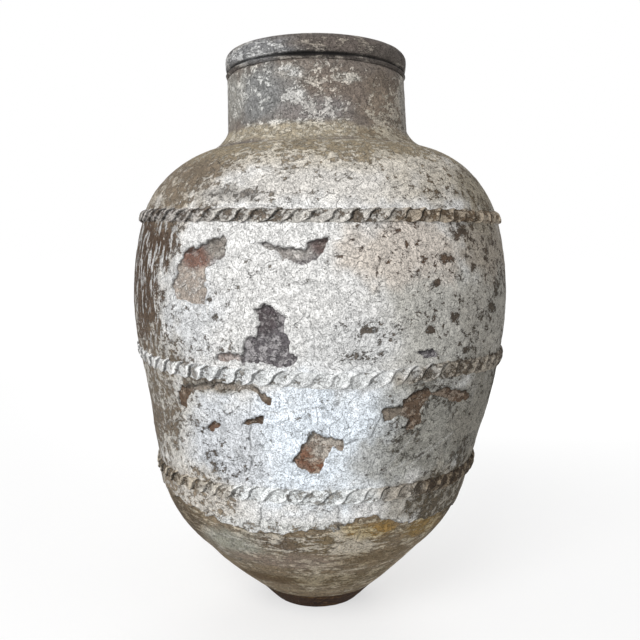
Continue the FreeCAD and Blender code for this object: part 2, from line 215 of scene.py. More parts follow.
def mottle(points, size):
    """Soft random blotches of that size in millimetres, from -1 to 1, always the same at a place."""
    cells = points / size + CELL_OFFSET
    corners = np.floor(cells).astype(np.int64)
    share = eased(cells - corners, 0, 1)
    total = np.zeros(len(points))
    for step in itertools.product((0, 1), repeat=3):
        weight = np.prod(np.where(step, share, 1 - share), axis=1)
        key = (corners + step) @ HASH_STRIDES + int(size * HASH_STRIDES[1])
        key = ((key >> HASH_SHIFTS[0]) ^ key) * HASH_MIX % HASH_TOP
        total += weight * ((key >> HASH_SHIFTS[1]) % HASH_LEVELS / ((HASH_LEVELS - 1) / 2) - 1)
    return total


def uneven(points, blotches):
    """Blotches of several sizes together, each given by its amount and its size in millimetres."""
    return sum(amount * mottle(points, size) for amount, size in blotches)


Places = namedtuple("Places", "points across up front ragged")
LEAN_STEP = 5
LEAN_HEIGHTS = np.arange(-50, 1100, LEAN_STEP)
LEAN = (
    (0, -6), (35, -6), (60, -8), (85, -12), (255, -12), (290, -7), (330, -6),
    (370, -1), (420, 1), (500, 0), (770, 0), (850, -4), (960, -8), (1000, -8))
LEAN_SMOOTHING = np.ones(9) / 9
lean_line = np.convolve(np.interp(LEAN_HEIGHTS, *zip(*LEAN)), LEAN_SMOOTHING, "same")
SETTLED_HEIGHT = 815
SETTLED_REACH = 45
SETTLED_SLOPE = 0.016
RIM_TIP = 0.0375
RIM_TIP_HEIGHTS = (850, 960)
FRONT_FADE = 25
SIDE_WANDER = ((50, 95), (20, 34))
RAGGED_EDGE = ((0.26, 38), (0.18, 13))


def out_of_true(points):
    """Moves points as the jar was built: it leans, its left shoulder settled and its rim tips back."""
    across, depth, up = (points / MM).T
    settled = SETTLED_SLOPE * np.exp(-((up - SETTLED_HEIGHT) / SETTLED_REACH) ** 2)
    tipped = -RIM_TIP * depth * eased(up, *RIM_TIP_HEIGHTS)
    lean = np.interp(up, LEAN_HEIGHTS, lean_line)
    return np.column_stack((across + lean, depth, up + settled * across + tipped)) * MM


def places_of(points):
    """Where points lie on the jar, in millimetres right of its axis and above its foot."""
    points = points / MM
    depth = points[:, 1] + uneven(points, SIDE_WANDER)
    front = 1 / (1 + np.exp(depth / FRONT_FADE))
    return Places(points, points[:, 0], points[:, 2], front, uneven(points, RAGGED_EDGE))


def colour(red, green, blue):
    """A colour as it is seen, from 0 to 255 on the sRGB scale, as the light that it gives back."""
    share = np.array((red, green, blue)) / 255
    return np.where(share <= 0.04045, share / 12.92, ((share + 0.055) / 1.055) ** 2.4)


FRONT, ALL_ROUND, BACK = 1, 0, -1
Zone = namedtuple("Zone", "upper under wear middle half side", defaults=(FRONT,))
EVERYWHERE = ((0, 500), (5000, 5000), ALL_ROUND)
ZONE_FADE = (1.3, 0.5)
WORN_PATCHES = ((0.13, 62), (0.11, 24))


def on_side(places, side):
    return {FRONT: places.front, ALL_ROUND: np.ones(len(places.up)), BACK: 1 - places.front}[side]


def cover(places, middle, half, side=FRONT):
    """How much a zone covers each place, with an uneven edge."""
    away = np.hypot((places.across - middle[0]) / half[0], (places.up - middle[1]) / half[1])
    return eased(away + places.ragged, *ZONE_FADE) * on_side(places, side)


def layered(places, zones):
    """Colours of the upper and the under layer, and how far the upper one is worn, zone over zone."""
    upper = np.zeros((len(places.up), 3))
    under = upper.copy()
    wear = np.zeros(len(upper))
    for zone in zones:
        share = cover(places, zone.middle, zone.half, zone.side)
        upper += share[:, None] * (colour(*zone.upper) - upper)
        under += share[:, None] * (colour(*zone.under) - under)
        wear += share * (zone.wear - wear)
    return upper, under, wear + uneven(places.points, WORN_PATCHES)


def keep_weather(mesh, upper, under, wear, streaks):
    """Keeps the layers' colours, their wear and their rain streaks on a mesh's points."""
    for name, values in (("upper", upper), ("under", under)):
        field = mesh.attributes.new(name, "FLOAT_COLOR", "POINT")
        rgba = np.column_stack((values, np.ones(len(values))))
        field.data.foreach_set("color", rgba.astype(np.float32).ravel())
    for name, values in (("wear", wear), ("streaks", streaks)):
        field = mesh.attributes.new(name, "FLOAT", "POINT")
        field.data.foreach_set("value", values.astype(np.float32))


LIME = colour(228, 227, 225)
WEAR_PULL = 0.45
WORN_EDGE = (0.695, 0.72)
PIT_PULL = 0.16
PIT_EDGE = (0.64, 0.70)
CREASE = 0.5
HAIRLINE_EDGE = (0, 0.035, 1, 0)
SCRATCH_EDGE = (0.003, 0.02, 1, 0)
SCRATCHED_PATCHES = (0.47, 0.56)
BLOTCH_SHARE = 0.35
SHADES = (0.51, 0.84, 0.54, 1.52)
STREAK_PULL = 0.36
STREAK_EDGE = (0.7, 0.74)
GRAIN_DEPTH = 0.45
RELIEF = 2.4 * MM


def weathered(name, step, drawn=(1, 1, 1.2)):
    """An old dry surface, worn through from an upper layer to an under one, with pits and hairlines."""
    material = bpy.data.materials.new(name)
    material.use_nodes = True
    tree = material.node_tree
    tree.nodes.clear()
    at = add(tree, "ShaderNodeTexCoord").outputs["Object"]

    def kept(field, output="Fac"):
        return add(tree, "ShaderNodeAttribute", attribute_name=field).outputs[output]

    def noise(size, detail, roughness=0.6, stretch=(1, 1, 1)):
        there = add(tree, "ShaderNodeMapping", {"Vector": at, "Scale": stretch}).outputs["Vector"]
        texture = add(tree, "ShaderNodeTexNoise", {
            "Vector": there, "Scale": 1 / (size * MM), "Detail": detail, "Roughness": roughness})
        return texture.outputs["Fac"]

    def spread(value, low, high, to_low=0.0, to_high=1.0):
        ranged = add(tree, "ShaderNodeMapRange", {
            "Value": value, "From Min": low, "From Max": high, "To Min": to_low, "To Max": to_high})
        return ranged.outputs["Result"]

    def laid(ground, share, shade):
        return add(tree, "ShaderNodeMix", {0: share, 6: ground, 7: shade}, data_type="RGBA").outputs[2]

    def pulled(value, amount, ground):
        return maths(tree, "MULTIPLY_ADD", value, amount, ground)

    def off_crease(waves):
        return maths(tree, "ABSOLUTE", maths(tree, "SUBTRACT", waves, CREASE))

    wear = kept("wear")
    grain = noise(size=2.5, detail=2)
    blotches = noise(size=14, detail=4)
    broken = noise(size=13, detail=7, roughness=0.78, stretch=drawn)
    worn = spread(pulled(wear, WEAR_PULL, broken), *WORN_EDGE)
    edge = maths(tree, "MULTIPLY", worn, maths(tree, "SUBTRACT", 1, worn))
    pits = spread(pulled(wear, PIT_PULL, grain), *PIT_EDGE)
    hairline = spread(off_crease(noise(size=13, detail=4, roughness=0.66)), *HAIRLINE_EDGE)
    scratch = spread(off_crease(noise(size=21, detail=1, roughness=0.4)), *SCRATCH_EDGE)
    scratch = maths(tree, "MULTIPLY", scratch, spread(blotches, *SCRATCHED_PATCHES))
    brushed = noise(size=9, detail=3, stretch=(0.35, 0.35, 1.5))
    shade = spread(pulled(blotches, BLOTCH_SHARE, grain), *SHADES)
    for mark, amount in ((edge, 1.2), (pits, 0.7), (hairline, 0.32), (scratch, 0.5)):
        shade = maths(tree, "MULTIPLY", shade, pulled(mark, -amount, 1))
    drips = noise(size=11, detail=5, roughness=0.7, stretch=(1, 1, 0.3))
    runs = spread(pulled(kept("streaks"), STREAK_PULL, drips), *STREAK_EDGE)
    tint = laid(kept("upper", "Color"), worn, kept("under", "Color"))
    tint = laid(tint, runs, (*LIME, 1))
    tint = add(tree, "ShaderNodeVectorMath", {0: tint, 3: shade}, operation="SCALE").outputs[0]
    height = pulled(grain, GRAIN_DEPTH, blotches)
    for mark, amount in ((brushed, 0.7), (worn, step), (pits, -0.4), (hairline, -0.25), (scratch, -0.4)):
        height = pulled(mark, amount, height)
    bump = add(tree, "ShaderNodeBump", {"Height": height, "Strength": 1.0, "Distance": RELIEF})
    shader = add(tree, "ShaderNodeBsdfPrincipled", {
        "Base Color": tint, "Roughness": 0.88, "Specular IOR Level": 0.25,
        "Normal": bump.outputs["Normal"]})
    add(tree, "ShaderNodeOutputMaterial", {"Surface": shader.outputs["BSDF"]})
    return material


scraped_finish = weathered("scraped clay", step=0.35, drawn=(0.45, 0.45, 1.5))
INSIDE = Zone((98, 82, 68), (128, 112, 94), 0.35, *EVERYWHERE)


def outward(points):
    flat = points * (1, 1, 0)
    return flat / np.maximum(np.linalg.norm(flat, axis=1), MM * MM)[:, None]


SHARP_ANGLE = math.radians(50)


def finish_piece(piece, slot, *nodes):
    """Turns a closed piece right side out, smooths it and sets it on the jar for its CAD pieces."""
    mesh = piece.data
    mesh.calc_loop_triangles()
    corners = np.empty(len(mesh.loop_triangles) * 3, np.int32)
    mesh.loop_triangles.foreach_get("vertices", corners)
    a, b, c = points_of(mesh)[corners.reshape(-1, 3)].transpose(1, 0, 2)
    if np.einsum("ij,ij->", a, np.cross(b, c)) < 0:
        mesh.flip_normals()
    mesh.shade_smooth()
    mesh.set_sharp_from_angle(angle=SHARP_ANGLE)
    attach(piece, "root")
    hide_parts(*nodes)


HAND_MARKS = ((0.5, 22), (0.3, 9))
NO_TOOLING = ((0, 0),)


def weather_clay(piece, outside, zones, shadow=None, marks=NO_TOOLING):
    """Gives bare clay its tooled marks, its hand-made unevenness, its stains and its wear, and any painted
    shade given as its shadow.
    """
    mesh = piece.data
    true = points_of(mesh)
    points = out_of_true(true)
    places = places_of(points)
    rise = (uneven(places.points, HAND_MARKS) + np.interp(true[:, 2] / MM, *zip(*marks))) * outside
    move_points(mesh, points + outward(true) * rise[:, None] * MM)
    upper, under, wear = layered(places, zones)
    # Painted shade, where a shadow is given.
    if shadow is not None:
        shade = shadow(places)[:, None]
        upper, under = upper * shade, under * shade
    hidden = layered(places, (INSIDE,))
    outside = outside[:, None]
    keep_weather(
        mesh, np.where(outside, upper, hidden[0]), np.where(outside, under, hidden[1]),
        np.where(outside[:, 0], wear, hidden[2]), np.zeros(len(points)))


FOOT_COLUMNS = 400
foot_top = seam_above["foot_slab"]
foot_line = evenly(measured_line("foot_slab", seam_below["foot_slab"], foot_top), SKIN_ROW)
foot_section = np.vstack((
    evenly(np.array(((0, 0), foot_line[0])), HIDDEN_ROW)[:-1],
    foot_line,
    evenly(np.array((foot_line[-1], (0, foot_top))), HIDDEN_ROW)[1:]))
foot = turned("foot_slab_clay", foot_section, scraped_finish, closed=False, columns=FOOT_COLUMNS)
FOOT_ZONES = (
    Zone((62, 40, 22), (94, 68, 40), 0.34, *EVERYWHERE),
    Zone((72, 49, 27), (104, 78, 48), 0.4, (-10, 38), (120, 7)))
weather_clay(foot, points_of(foot.data)[:, 2] < foot_top - MM, FOOT_ZONES)
finish_piece(foot, "foot_clay", "foot_slab")

# Base cone: the first lift, a thick ring of coils drawn up and outwards from the foot and scraped smooth.
# It is bare earthenware, khaki with soil stains, and it was never limewashed.
SEAM_ROW = 10 * MM


def wall_section(node, row):
    """Outer line, top seam, inner line and lower seam of a lift as one loop, and its wall's middle."""
    low, high = seam_below[node], seam_above[node]
    outer = evenly(measured_line(node, low, high), row)
    inner = evenly(measured_line(node, low, high, from_axis=True), HIDDEN_ROW)
    top = evenly(np.array((outer[-1], inner[-1])), SEAM_ROW)
    bottom = evenly(np.array((inner[0], outer[0])), SEAM_ROW)
    loop = np.vstack((outer, top[1:-1], inner[::-1], bottom[1:-1]))
    return loop, (np.interp(outer[:, 1], inner[:, 1], inner[:, 0]) + outer[:, 0]) / 2, outer[:, 1]


def raise_lift(node, slot, zones, finish, row=SKIN_ROW, **weather):
    """Turns one lift of the wall and weathers its outside."""
    section, middles, heights = wall_section(node, row)
    piece = turned(f"{node}_clay", section, finish)
    points = points_of(piece.data)
    outside = np.hypot(points[:, 0], points[:, 1]) > np.interp(points[:, 2], heights, middles)
    weather_clay(piece, outside, zones, **weather)
    finish_piece(piece, slot, node)


SOIL_ZONES = (
    Zone((140, 124, 101), (206, 194, 172), 0.39, *EVERYWHERE),
    Zone((140, 130, 114), (204, 196, 181), 0.44, (-150, 165), (110, 45)),
    Zone((100, 86, 68), (156, 142, 120), 0.34, (-235, 190), (50, 60), ALL_ROUND),
    Zone((96, 84, 66), (150, 136, 110), 0.34, (235, 190), (50, 60), ALL_ROUND),
    Zone((168, 166, 152), (198, 195, 183), 0.38, (-140, 176), (60, 26)),
    Zone((114, 100, 84), (206, 198, 184), 0.46, (-40, 188), (80, 18)),
    Zone((134, 118, 92), (210, 200, 182), 0.52, (50, 188), (80, 24)),
    Zone((156, 126, 76), (196, 178, 140), 0.36, (85, 212), (44, 20)),
    Zone((150, 124, 78), (190, 172, 136), 0.36, (168, 196), (42, 24)),
    Zone((152, 136, 121), (196, 182, 163), 0.42, (-40, 146), (110, 20)),
    Zone((127, 110, 84), (168, 151, 122), 0.38, (90, 146), (80, 22)),
    Zone((128, 112, 86), (180, 166, 139), 0.45, (30, 92), (120, 22)),
    Zone((104, 86, 62), (150, 132, 100), 0.3, (-90, 90), (60, 16)),
    Zone((160, 145, 120), (196, 182, 156), 0.46, (10, 58), (110, 6)),
)
raise_lift("base_cone", "lower_clay", SOIL_ZONES, scraped_finish)

# Lower wall: the second lift, which turns the cone into the round of the jar. Only its upper part was
# limewashed, down to an uneven hem, so its bare clay shows below as a wide stained belt.
raise_lift("lower_wall", "lower_clay", SOIL_ZONES, scraped_finish)

# Lower belly: the third lift, nearly straight sided. Its clay shows only where the limewash has come away,
# chocolate brown on the right and tan with rusty edges in the middle.
LOWER_BELLY_ZONES = (
    Zone((103, 85, 70), (156, 140, 124), 0.38, *EVERYWHERE),
    Zone((132, 122, 110), (168, 158, 146), 0.35, (108, 410), (22, 18)),
    Zone((164, 150, 137), (202, 193, 182), 0.42, (0, 355), (60, 50)),
    Zone((140, 104, 84), (180, 158, 140), 0.4, (-26, 345), (17, 20)),
    Zone((138, 98, 76), (176, 152, 133), 0.4, (-4, 328), (16, 12)),
    Zone((154, 144, 132), (188, 180, 170), 0.4, (-135, 450), (80, 20)),
    Zone((122, 96, 80), (160, 146, 132), 0.35, (-170, 384), (20, 14)),
)
FLAKES = (
    ((-96, 569), (-80, 578), (-69, 573), (-52, 558), (-55, 545), (-44, 519), (-44, 508), (-29, 501),
     (-42, 490), (-56, 482), (-90, 492), (-116, 487), (-119, 495), (-109, 526), (-95, 528), (-89, 552)),
    ((-155, 500), (-137, 505), (-119, 500), (-119, 492), (-141, 489), (-155, 491)),
    ((-95, 668), (-49, 660), (-22, 659), (-16, 669), (13, 676), (14, 669), (0, 645), (-30, 635),
     (-53, 643), (-68, 655)),
    ((-208, 653), (-168, 668), (-145, 677), (-139, 665), (-142, 650), (-171, 629), (-174, 575),
     (-222, 579), (-230, 602), (-219, 628)),
    ((93, 418), (124, 422), (133, 437), (169, 446), (173, 439), (200, 441), (237, 430), (245, 416),
     (225, 412), (187, 429), (171, 433), (157, 412), (158, 389), (134, 377), (127, 386), (136, 398),
     (120, 405), (97, 397)),
    ((-43, 336), (-23, 363), (-17, 377), (-9, 383), (33, 371), (36, 350), (20, 359), (8, 339), (0, 316),
     (-23, 317)),
    ((-229, 420), (-221, 441), (-186, 449), (-149, 455), (-128, 455), (-121, 468), (-104, 474),
     (-95, 464), (-103, 456), (-88, 447), (-72, 436), (-75, 425), (-89, 430), (-98, 443), (-113, 448),
     (-144, 445), (-178, 441), (-196, 438), (-209, 426), (-214, 405), (-226, 405)),
    ((-122, 391), (-106, 401), (-87, 406), (-89, 396)),
    ((-181, 378), (-163, 393), (-155, 386), (-169, 372)),
    ((169, 507), (180, 495), (157, 494), (145, 504)),
)
BACK_FLAKES = (
    ((-150, 596), (-122, 612), (-84, 616), (-58, 604), (-36, 606), (-22, 590), (-48, 578), (-78, 582),
     (-96, 566), (-126, 572)),
    ((66, 566), (84, 574), (98, 560), (94, 538), (112, 524), (140, 520), (134, 506), (98, 502),
     (80, 514)),
    ((118, 420), (150, 434), (186, 432), (214, 418), (206, 408), (180, 418), (152, 418), (134, 406)),
    ((-98, 376), (-72, 398), (-46, 404), (-24, 396), (-36, 380), (-62, 372), (-78, 354), (-96, 358)),
    ((16, 666), (44, 680), (74, 676), (96, 664), (66, 660), (40, 656)),
)
HEM = (
    (-300, 235), (-200, 228), (-158, 212), (-60, 214), (30, 216), (70, 232), (112, 232), (135, 212),
    (300, 205))
HEM_WANDER = ((9, 34), (6, 15))
FLAKE_WANDER = ((3.4, 11), (2.6, 5.5))
OFF_THE_SIDE = 400


def inside_by(across, up, outline):
    """How far a place lies inside an outline, in millimetres; less than nothing outside it."""
    here = np.column_stack((across, up))
    nearest = np.full(len(here), np.inf)
    inside = np.zeros(len(here), bool)
    corners = np.array(outline, float)
    for start, end in zip(corners, np.roll(corners, -1, axis=0)):
        edge = end - start
        along = np.clip((here - start) @ edge / (edge @ edge), 0, 1)
        nearest = np.minimum(nearest, np.linalg.norm(here - start - along[:, None] * edge, axis=1))
        spans = (start[1] > up) != (end[1] > up)
        inside ^= spans & (across < start[0] + (up - start[1]) / (edge[1] or MM) * edge[0])
    return np.where(inside, nearest, -nearest)


def lost(places, shift=(0, 0)):
    """How far each place lies inside a patch that has lost its limewash, in millimetres."""
    across, up = places.across + shift[0], places.up + shift[1]
    depth = np.interp(across, *zip(*HEM)) - up + uneven(places.points, HEM_WANDER)
    for outlines, side in ((FLAKES, FRONT), (BACK_FLAKES, BACK)):
        elsewhere = OFF_THE_SIDE * (1 - on_side(places, side))
        for outline in outlines:
            depth = np.maximum(depth, inside_by(across, up, outline) - elsewhere)
    return depth + uneven(places.points, FLAKE_WANDER)


# A painted shadow under the upper left edges of the limewash: its offset toward the light, how far it
# reaches and how dark it is.
SHADOW_SHIFT = (-2.2, 3.2)
SHADOW_EDGE = (1.6, -1.2)
SHADOW = 0.66


def painted_edge_shadow(places):
    """Painted shadow, cast by the upper left edge of the limewash onto the clay close under it."""
    return 1 - SHADOW * eased(lost(places, SHADOW_SHIFT), *SHADOW_EDGE)


clay_finish = weathered("weathered clay", step=0.35)
# The clay round the flakes gets painted shadow under the limewash's upper left edges.
raise_lift("lower_belly", "wall_clay", LOWER_BELLY_ZONES, clay_finish, shadow=painted_edge_shadow)

# Upper belly: the fourth lift and the widest part of the jar, with the largest losses of limewash:
# a purple grey scar on the left of the middle, a rusty one by the left edge and a tan one above.
UPPER_BELLY_ZONES = (
    Zone((114, 109, 112), (172, 168, 169), 0.48, *EVERYWHERE),
    Zone((92, 84, 86), (150, 144, 144), 0.42, (-84, 556), (26, 22)),
    Zone((184, 172, 161), (216, 209, 202), 0.46, (-200, 610), (44, 50)),
    Zone((138, 107, 95), (168, 150, 142), 0.42, (-190, 645), (26, 16)),
    Zone((150, 142, 134), (178, 172, 164), 0.4, (-152, 660), (20, 18)),
    Zone((172, 166, 161), (204, 199, 194), 0.42, (-50, 653), (60, 18)),
    Zone((118, 102, 98), (150, 138, 132), 0.36, (4, 662), (18, 18)),
    Zone((172, 156, 148), (196, 184, 178), 0.36, (-140, 496), (22, 10)),
)
raise_lift("upper_belly", "wall_clay", UPPER_BELLY_ZONES, clay_finish, shadow=painted_edge_shadow)

# Shoulder: the fifth lift, closing in over the belly towards the mouth.
# Its clay is khaki and shows round the neck, where lids and hands have rubbed off the limewash.
SHOULDER_ZONES = (Zone((140, 124, 98), (176, 162, 136), 0.4, *EVERYWHERE),)
raise_lift("shoulder", "wall_clay", SHOULDER_ZONES, clay_finish)

# Neck collar: a short upright wall with a coved root, handled for years and blackened by it.
# It keeps pale scraps of limewash, most of them low down and at its left edge.
NECK_ZONES = (
    Zone((128, 119, 111), (208, 201, 191), 0.3, *EVERYWHERE),
    Zone((140, 140, 139), (222, 222, 219), 0.36, (-95, 908), (60, 50)),
    Zone((136, 124, 114), (212, 202, 190), 0.34, (60, 918), (80, 34)),
    Zone((142, 136, 133), (216, 212, 207), 0.44, (-10, 880), (70, 26)),
    Zone((131, 119, 107), (204, 194, 180), 0.42, (112, 925), (45, 36)),
    Zone((152, 138, 123), (214, 204, 188), 0.44, (110, 880), (50, 40)),
    Zone((150, 147, 144), (222, 220, 216), 0.56, (-45, 905), (24, 16)),
    Zone((150, 142, 132), (220, 214, 204), 0.56, (48, 936), (26, 8)),
    Zone((148, 143, 138), (222, 219, 213), 0.6, (-70, 864), (60, 7)),
    Zone((170, 167, 160), (212, 210, 204), 0.5, (-150, 915), (22, 50), ALL_ROUND),
    Zone((150, 142, 130), (204, 198, 188), 0.5, (150, 915), (14, 60), ALL_ROUND),
    Zone((170, 166, 160), (214, 212, 208), 0.55, (-50, 944), (26, 12)),
    Zone((186, 174, 152), (218, 209, 191), 0.48, (-40, 848), (200, 17), ALL_ROUND),
    Zone((150, 136, 115), (196, 186, 167), 0.48, (120, 846), (80, 14)),
)
raise_lift("neck_collar", "neck_clay", NECK_ZONES, clay_finish)

# Rim roll: a thick coil laid on the neck and rounded with a wet cloth, with a groove cut under it that is
# given painted shade.
# It is the most worn edge of the jar, slate grey on the left and brown grey on the right.
RIM_ROW = 1.2 * MM
RIM_MARKS = (
    (961, 0), (965, 1.2), (966.5, -3), (969, -3.4), (971, -0.4), (976, 1), (986, 1.8), (996, 0.8))
# Where the painted shade in the groove lies, how far it reaches and how dark it is.
GROOVE_HEIGHT = 968
GROOVE_REACH = 2.4
GROOVE_PAINTED_SHADE = 0.85
RIM_ZONES = (
    Zone((110, 103, 98), (176, 168, 158), 0.37, *EVERYWHERE),
    Zone((140, 140, 141), (208, 208, 207), 0.46, (-110, 985), (80, 20), ALL_ROUND),
    Zone((110, 101, 95), (174, 164, 152), 0.38, (40, 990), (90, 14)),
    Zone((99, 92, 86), (160, 152, 142), 0.36, (130, 980), (50, 20), ALL_ROUND),
    # A near black band along the groove on the front: painted shade.
    Zone((26, 23, 21), (60, 54, 48), 0.2, (-10, 972), (80, 4)),
)


def painted_groove_shade(places):
    """Painted shade in the groove under the roll."""
    tip = RIM_TIP * -places.points[:, 1]
    return 1 - GROOVE_PAINTED_SHADE * np.exp(-((places.up - tip - GROOVE_HEIGHT) / GROOVE_REACH) ** 2)


# The roll gets painted shade in its groove.
raise_lift(
    "rim_roll", "neck_clay", RIM_ZONES, scraped_finish, row=RIM_ROW, shadow=painted_groove_shade, marks=RIM_MARKS)

# Rope bands: three rolls of clay, pressed over the seams by hand, so that they wander, and marked with
# slanted thumb hollows. They hide and tie the joints between lifts, and lime has filled them where it
# was brushed on thickest.
TWISTS = {"lower_rope": 62, "middle_rope": 70, "upper_rope": 70}
SEAM_OF = {"lower_rope": "lower_belly", "middle_rope": "upper_belly", "upper_rope": "shoulder"}
COLUMNS_PER_TWIST = 18
ROPE_ROWS = 22
TWIST_SHAPE = (
    (0, 0.95), (0.06, 0.6), (0.16, 0.2), (0.4, 0.1), (0.62, 0.28), (0.82, 0.62), (0.93, 0.96), (1, 0.95))
TWIST_LAY = 0.14
TWIST_FLARE = 0.46
TWIST_FLOOR = 0.3
TWIST_PINCH = 0.2
TWIST_WOBBLE = 0.35
WOBBLE_SIZE = 45 * MM
TWIST_REST = 0.6
OPEN_LEAST = 0.75
OPEN_SPREAD = 0.3
LEE_PLACE = 0.11
LEE_HALF = 0.075
ROPE_SEAT = 1.2 * MM
ROPE_BACK = 9 * MM


def twisting_tree():
    """Presses slanted hollows into a plain band of clay, like a rope's lay, and lays it on its seam."""
    tree, given = new_tree("thumbed rope", {
        "Band": "Geometry", "Twists": "Float", "Half width": "Float", "Stand": "Float", "Tilt": "Float",
        "Height": "Float", "Finish": "Material"})

    def put(operation, *values):
        return maths(tree, operation, *values)

    place = add(tree, "GeometryNodeInputPosition").outputs[0]
    across, depth, up = add(tree, "ShaderNodeSeparateXYZ", {0: place}).outputs
    level = put("DIVIDE", up, given["Half width"])
    squared = put("MULTIPLY", level, level)
    arch = put("SUBTRACT", 1, put("MULTIPLY", squared, squared))
    counted = put("MULTIPLY", put("ARCTAN2", depth, across), put("DIVIDE", given["Twists"], math.tau))
    wobble = add(tree, "ShaderNodeTexNoise", {
        "Vector": place, "Scale": 1 / WOBBLE_SIZE, "Detail": 1}).outputs[0]
    counted = put("MULTIPLY_ADD", put("SUBTRACT", wobble, 0.5), 2 * TWIST_WOBBLE, counted)
    lay = put("MULTIPLY", level, put("MULTIPLY_ADD", squared, TWIST_FLARE, TWIST_LAY))
    phase = put("SUBTRACT", counted, lay)
    number = put("FLOORED_MODULO", put("FLOOR", phase), given["Twists"])
    chance = add(tree, "ShaderNodeTexWhiteNoise", {"W": number}, noise_dimensions="1D").outputs["Value"]
    shape = add(tree, "ShaderNodeFloatCurve", {"Value": put("FRACT", phase)})
    curve = shape.mapping.curves[0]
    for along, rise in TWIST_SHAPE[1:-1]:
        curve.points.new(along, rise)
    curve.points[0].location = TWIST_SHAPE[0]
    curve.points[-1].location = TWIST_SHAPE[-1]
    shape.mapping.update()
    filled = add(
        tree, "GeometryNodeInputNamedAttribute", {"Name": "filled"}, data_type="FLOAT").outputs[0]
    open_share = put("SUBTRACT", put("MULTIPLY_ADD", chance, OPEN_SPREAD, OPEN_LEAST), filled)
    crest = put("MULTIPLY_ADD", put("SUBTRACT", shape.outputs[0], TWIST_REST), open_share, TWIST_REST)
    swell = put("MULTIPLY", arch, put("MULTIPLY_ADD", crest, 1 - TWIST_FLOOR, TWIST_FLOOR))
    out = add(tree, "ShaderNodeVectorMath", {0: place, 1: (1, 1, 0)}, operation="MULTIPLY").outputs[0]
    out = add(tree, "ShaderNodeVectorMath", {0: out}, operation="NORMALIZE").outputs[0]
    push = add(tree, "ShaderNodeVectorMath", {
        0: out, 3: put("MULTIPLY", swell, given["Stand"])}, operation="SCALE").outputs[0]
    pinch = put("MULTIPLY", put("SUBTRACT", crest, 1), put("MULTIPLY", up, TWIST_PINCH))
    pinch = add(tree, "ShaderNodeCombineXYZ", {"Z": pinch}).outputs[0]
    push = add(tree, "ShaderNodeVectorMath", {0: push, 1: pinch}, operation="ADD").outputs[0]
    # The lee side of each twist's ridge, kept for painted shade on the rope.
    from_lee = put("ABSOLUTE", put("SUBTRACT", put("FRACT", phase), LEE_PLACE))
    lee = put("MULTIPLY", put("LESS_THAN", from_lee, LEE_HALF), open_share)
    marked = given["Band"]
    for label, value in (("crest", crest), ("lee", lee)):
        store = add(tree, "GeometryNodeStoreNamedAttribute", {
            "Geometry": marked, "Name": label, "Value": value}, data_type="FLOAT", domain="POINT")
        marked = store.outputs["Geometry"]
    pressed = add(tree, "GeometryNodeSetPosition", {"Geometry": marked, "Offset": push})
    lift = add(tree, "ShaderNodeCombineXYZ", {"Z": given["Height"]}).outputs[0]
    tilt = add(tree, "ShaderNodeCombineXYZ", {"Y": given["Tilt"]}).outputs[0]
    laid = add(tree, "GeometryNodeTransform", {
        "Geometry": pressed.outputs["Geometry"], "Translation": lift, "Rotation": tilt})
    end_tree(tree, laid.outputs["Geometry"], given["Finish"])
    return tree


twisting = twisting_tree()
clay_line = np.vstack([measured_line(lift, seam_below[lift], seam_above[lift]) for lift in LIFTS])
rope_finish = weathered("limed rope", step=-0.5)
BEHIND_SLOPE = 0.1
ROPE_WANDER = ((1.5, 70),)
ROPE_DENTS = ((0.7, 11), (0.5, 5))
HOLLOW_EDGE = (0.62, 0.2)
HOLLOW_SHADE = 0.14
HOLLOW_WEAR = 0.1
CREST_EDGE = (0.7, 0.95)
CREST_LIGHT = 0.15
LEE_SHADE = 0.78
NOT_FILLED = (0, 1, 0)


def clay_radius(height):
    return np.interp(height, clay_line[:, 1], clay_line[:, 0])


def lime_filled(places, middle, half, most):
    """How far lime fills a rope's hollows, most at one place on the front."""
    return most * np.exp(-((places.across - middle) / half) ** 2) * places.front


